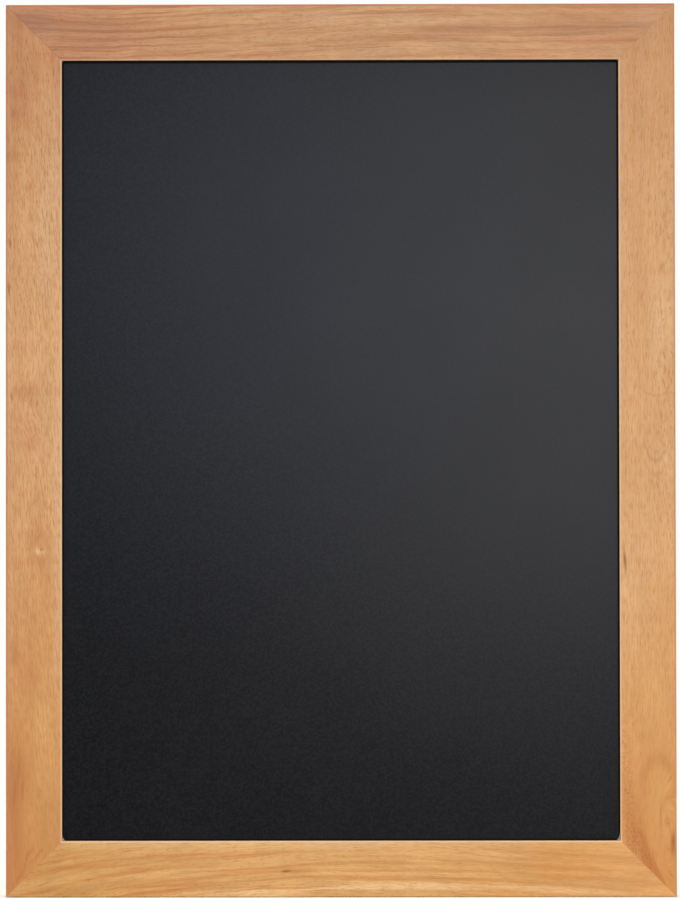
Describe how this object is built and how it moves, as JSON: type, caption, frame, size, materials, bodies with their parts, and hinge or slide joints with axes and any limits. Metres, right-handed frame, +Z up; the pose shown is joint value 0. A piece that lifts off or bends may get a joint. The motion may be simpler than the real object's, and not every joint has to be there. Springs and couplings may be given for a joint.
{
  "type": "framed writing board",
  "caption": "Wall-hung matte black writing board in a mitred hardwood frame, with its panel held in a rebate and swinging ring hangers on the back.",
  "frame": {"origin": "on the wall plane, behind the centre of the board", "axes": "+X to the right as seen from the front, +Y into the wall, +Z up"},
  "size_m": [0.6, 0.0225, 0.8],
  "materials": {
    "oiled_hardwood": "satin lacquer",
    "black_laminate": "fine matte",
    "hardboard": "smooth pressed",
    "spring_steel": "blued strip",
    "plated_steel": "zinc plated",
    "rubber": "matte"
  },
  "bodies": {
    "board": {"top_rail": "oiled_hardwood", "bottom_rail": "oiled_hardwood", "left_stile": "oiled_hardwood", "right_stile": "oiled_hardwood", "writing_surface": "black_laminate", "panel_core": "hardboard", "top_left_v_nails": "spring_steel", "top_right_v_nails": "spring_steel", "bottom_left_v_nails": "spring_steel", "bottom_right_v_nails": "spring_steel", "top_framing_points": "spring_steel", "bottom_framing_points": "spring_steel", "left_framing_points": "spring_steel", "right_framing_points": "spring_steel", "left_hanger_strap": "plated_steel", "right_hanger_strap": "plated_steel", "left_hanger_screw": "plated_steel", "right_hanger_screw": "plated_steel", "left_wall_bumper": "rubber", "right_wall_bumper": "rubber"},
    "left_ring": {"left_hanger_ring": "plated_steel"},
    "right_ring": {"right_hanger_ring": "plated_steel"}
  },
  "joints": [
    {"name": "left_ring_swing", "type": "hinge", "parent": "board", "child": "left_ring", "pos_m": [-0.2787, -0.00226, 0.3], "axis": [1, 0, 0], "range_deg": [0, 180]},
    {"name": "right_ring_swing", "type": "hinge", "parent": "board", "child": "right_ring", "pos_m": [0.2787, -0.00226, 0.3], "axis": [1, 0, 0], "range_deg": [0, 180]}
  ]
}
